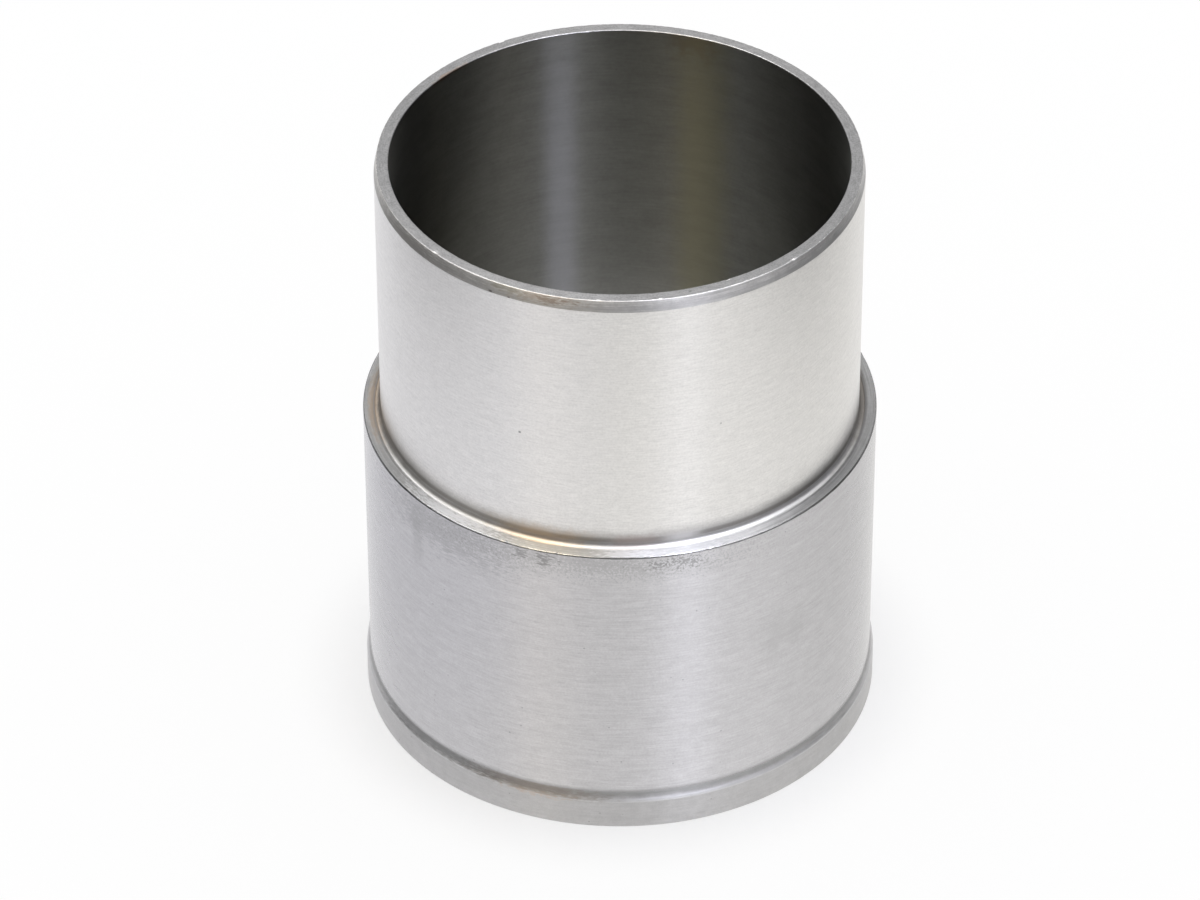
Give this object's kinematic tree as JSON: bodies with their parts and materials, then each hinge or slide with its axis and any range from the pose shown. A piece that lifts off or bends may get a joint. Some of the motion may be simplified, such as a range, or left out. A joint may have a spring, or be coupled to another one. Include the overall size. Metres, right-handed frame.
{
  "type": "cylinder liner",
  "caption": "Stepped cylinder liner standing on its flange end: plain honed bore, thin ground skirt with a lead-in, thicker body below a filleted shoulder, and a low blended flange.",
  "frame": {"origin": "centre of the base face, which is the flange end, on the axis of the bore", "axes": "+Z along the bore from the flange end up to the open end of the skirt; X and Y are free, because the part is round"},
  "size_m": [0.0926, 0.0926, 0.1123],
  "materials": {
    "ground_iron": "turned, ground and honed bare iron, satin, with faint brown stains in the corners"
  },
  "bodies": {
    "root": {"cylinder_liner": "ground_iron"}
  },
  "joints": []
}
